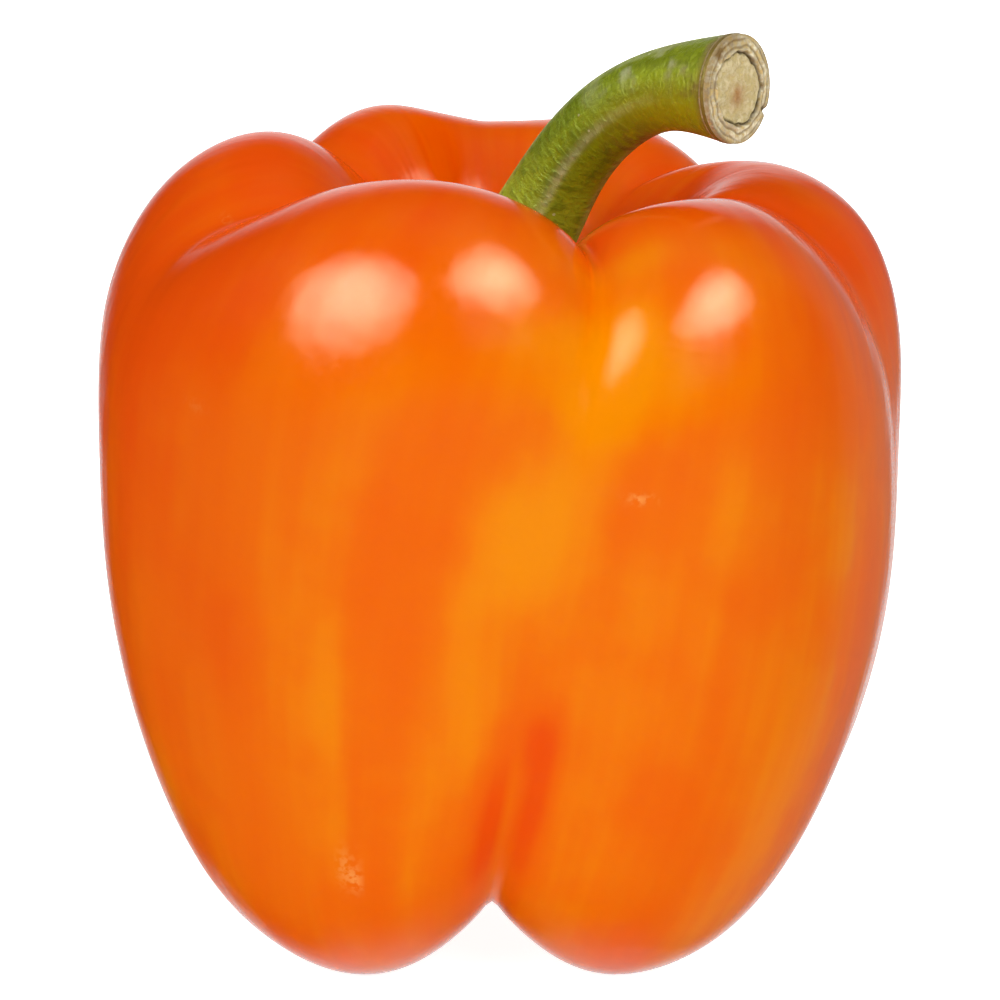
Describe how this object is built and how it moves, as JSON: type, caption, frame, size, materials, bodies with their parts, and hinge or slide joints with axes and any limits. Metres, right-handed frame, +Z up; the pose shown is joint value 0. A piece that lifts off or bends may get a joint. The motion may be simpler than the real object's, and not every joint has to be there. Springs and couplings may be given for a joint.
{
  "type": "bell pepper",
  "caption": "Blocky orange bell pepper with rounded lobes and a bent green stem cut off at its end, standing upright on its feet.",
  "frame": {"origin": "on the floor, under the middle of the bounding box", "axes": "+Z up, from the feet of the blossom end to the stem; -Y towards the viewer of the picture, +X towards the side the stem leans to"},
  "size_m": [0.087, 0.0832, 0.1014],
  "materials": {
    "skin": "smooth waxy orange skin, glossy",
    "stem": "ribbed olive green stem, satin",
    "cut_face": "dry corky cut face, pale tan, matte"
  },
  "bodies": {
    "root": {"fruit": "skin", "stem_and_calyx": "stem", "stem_cut_face": "cut_face"}
  },
  "joints": []
}
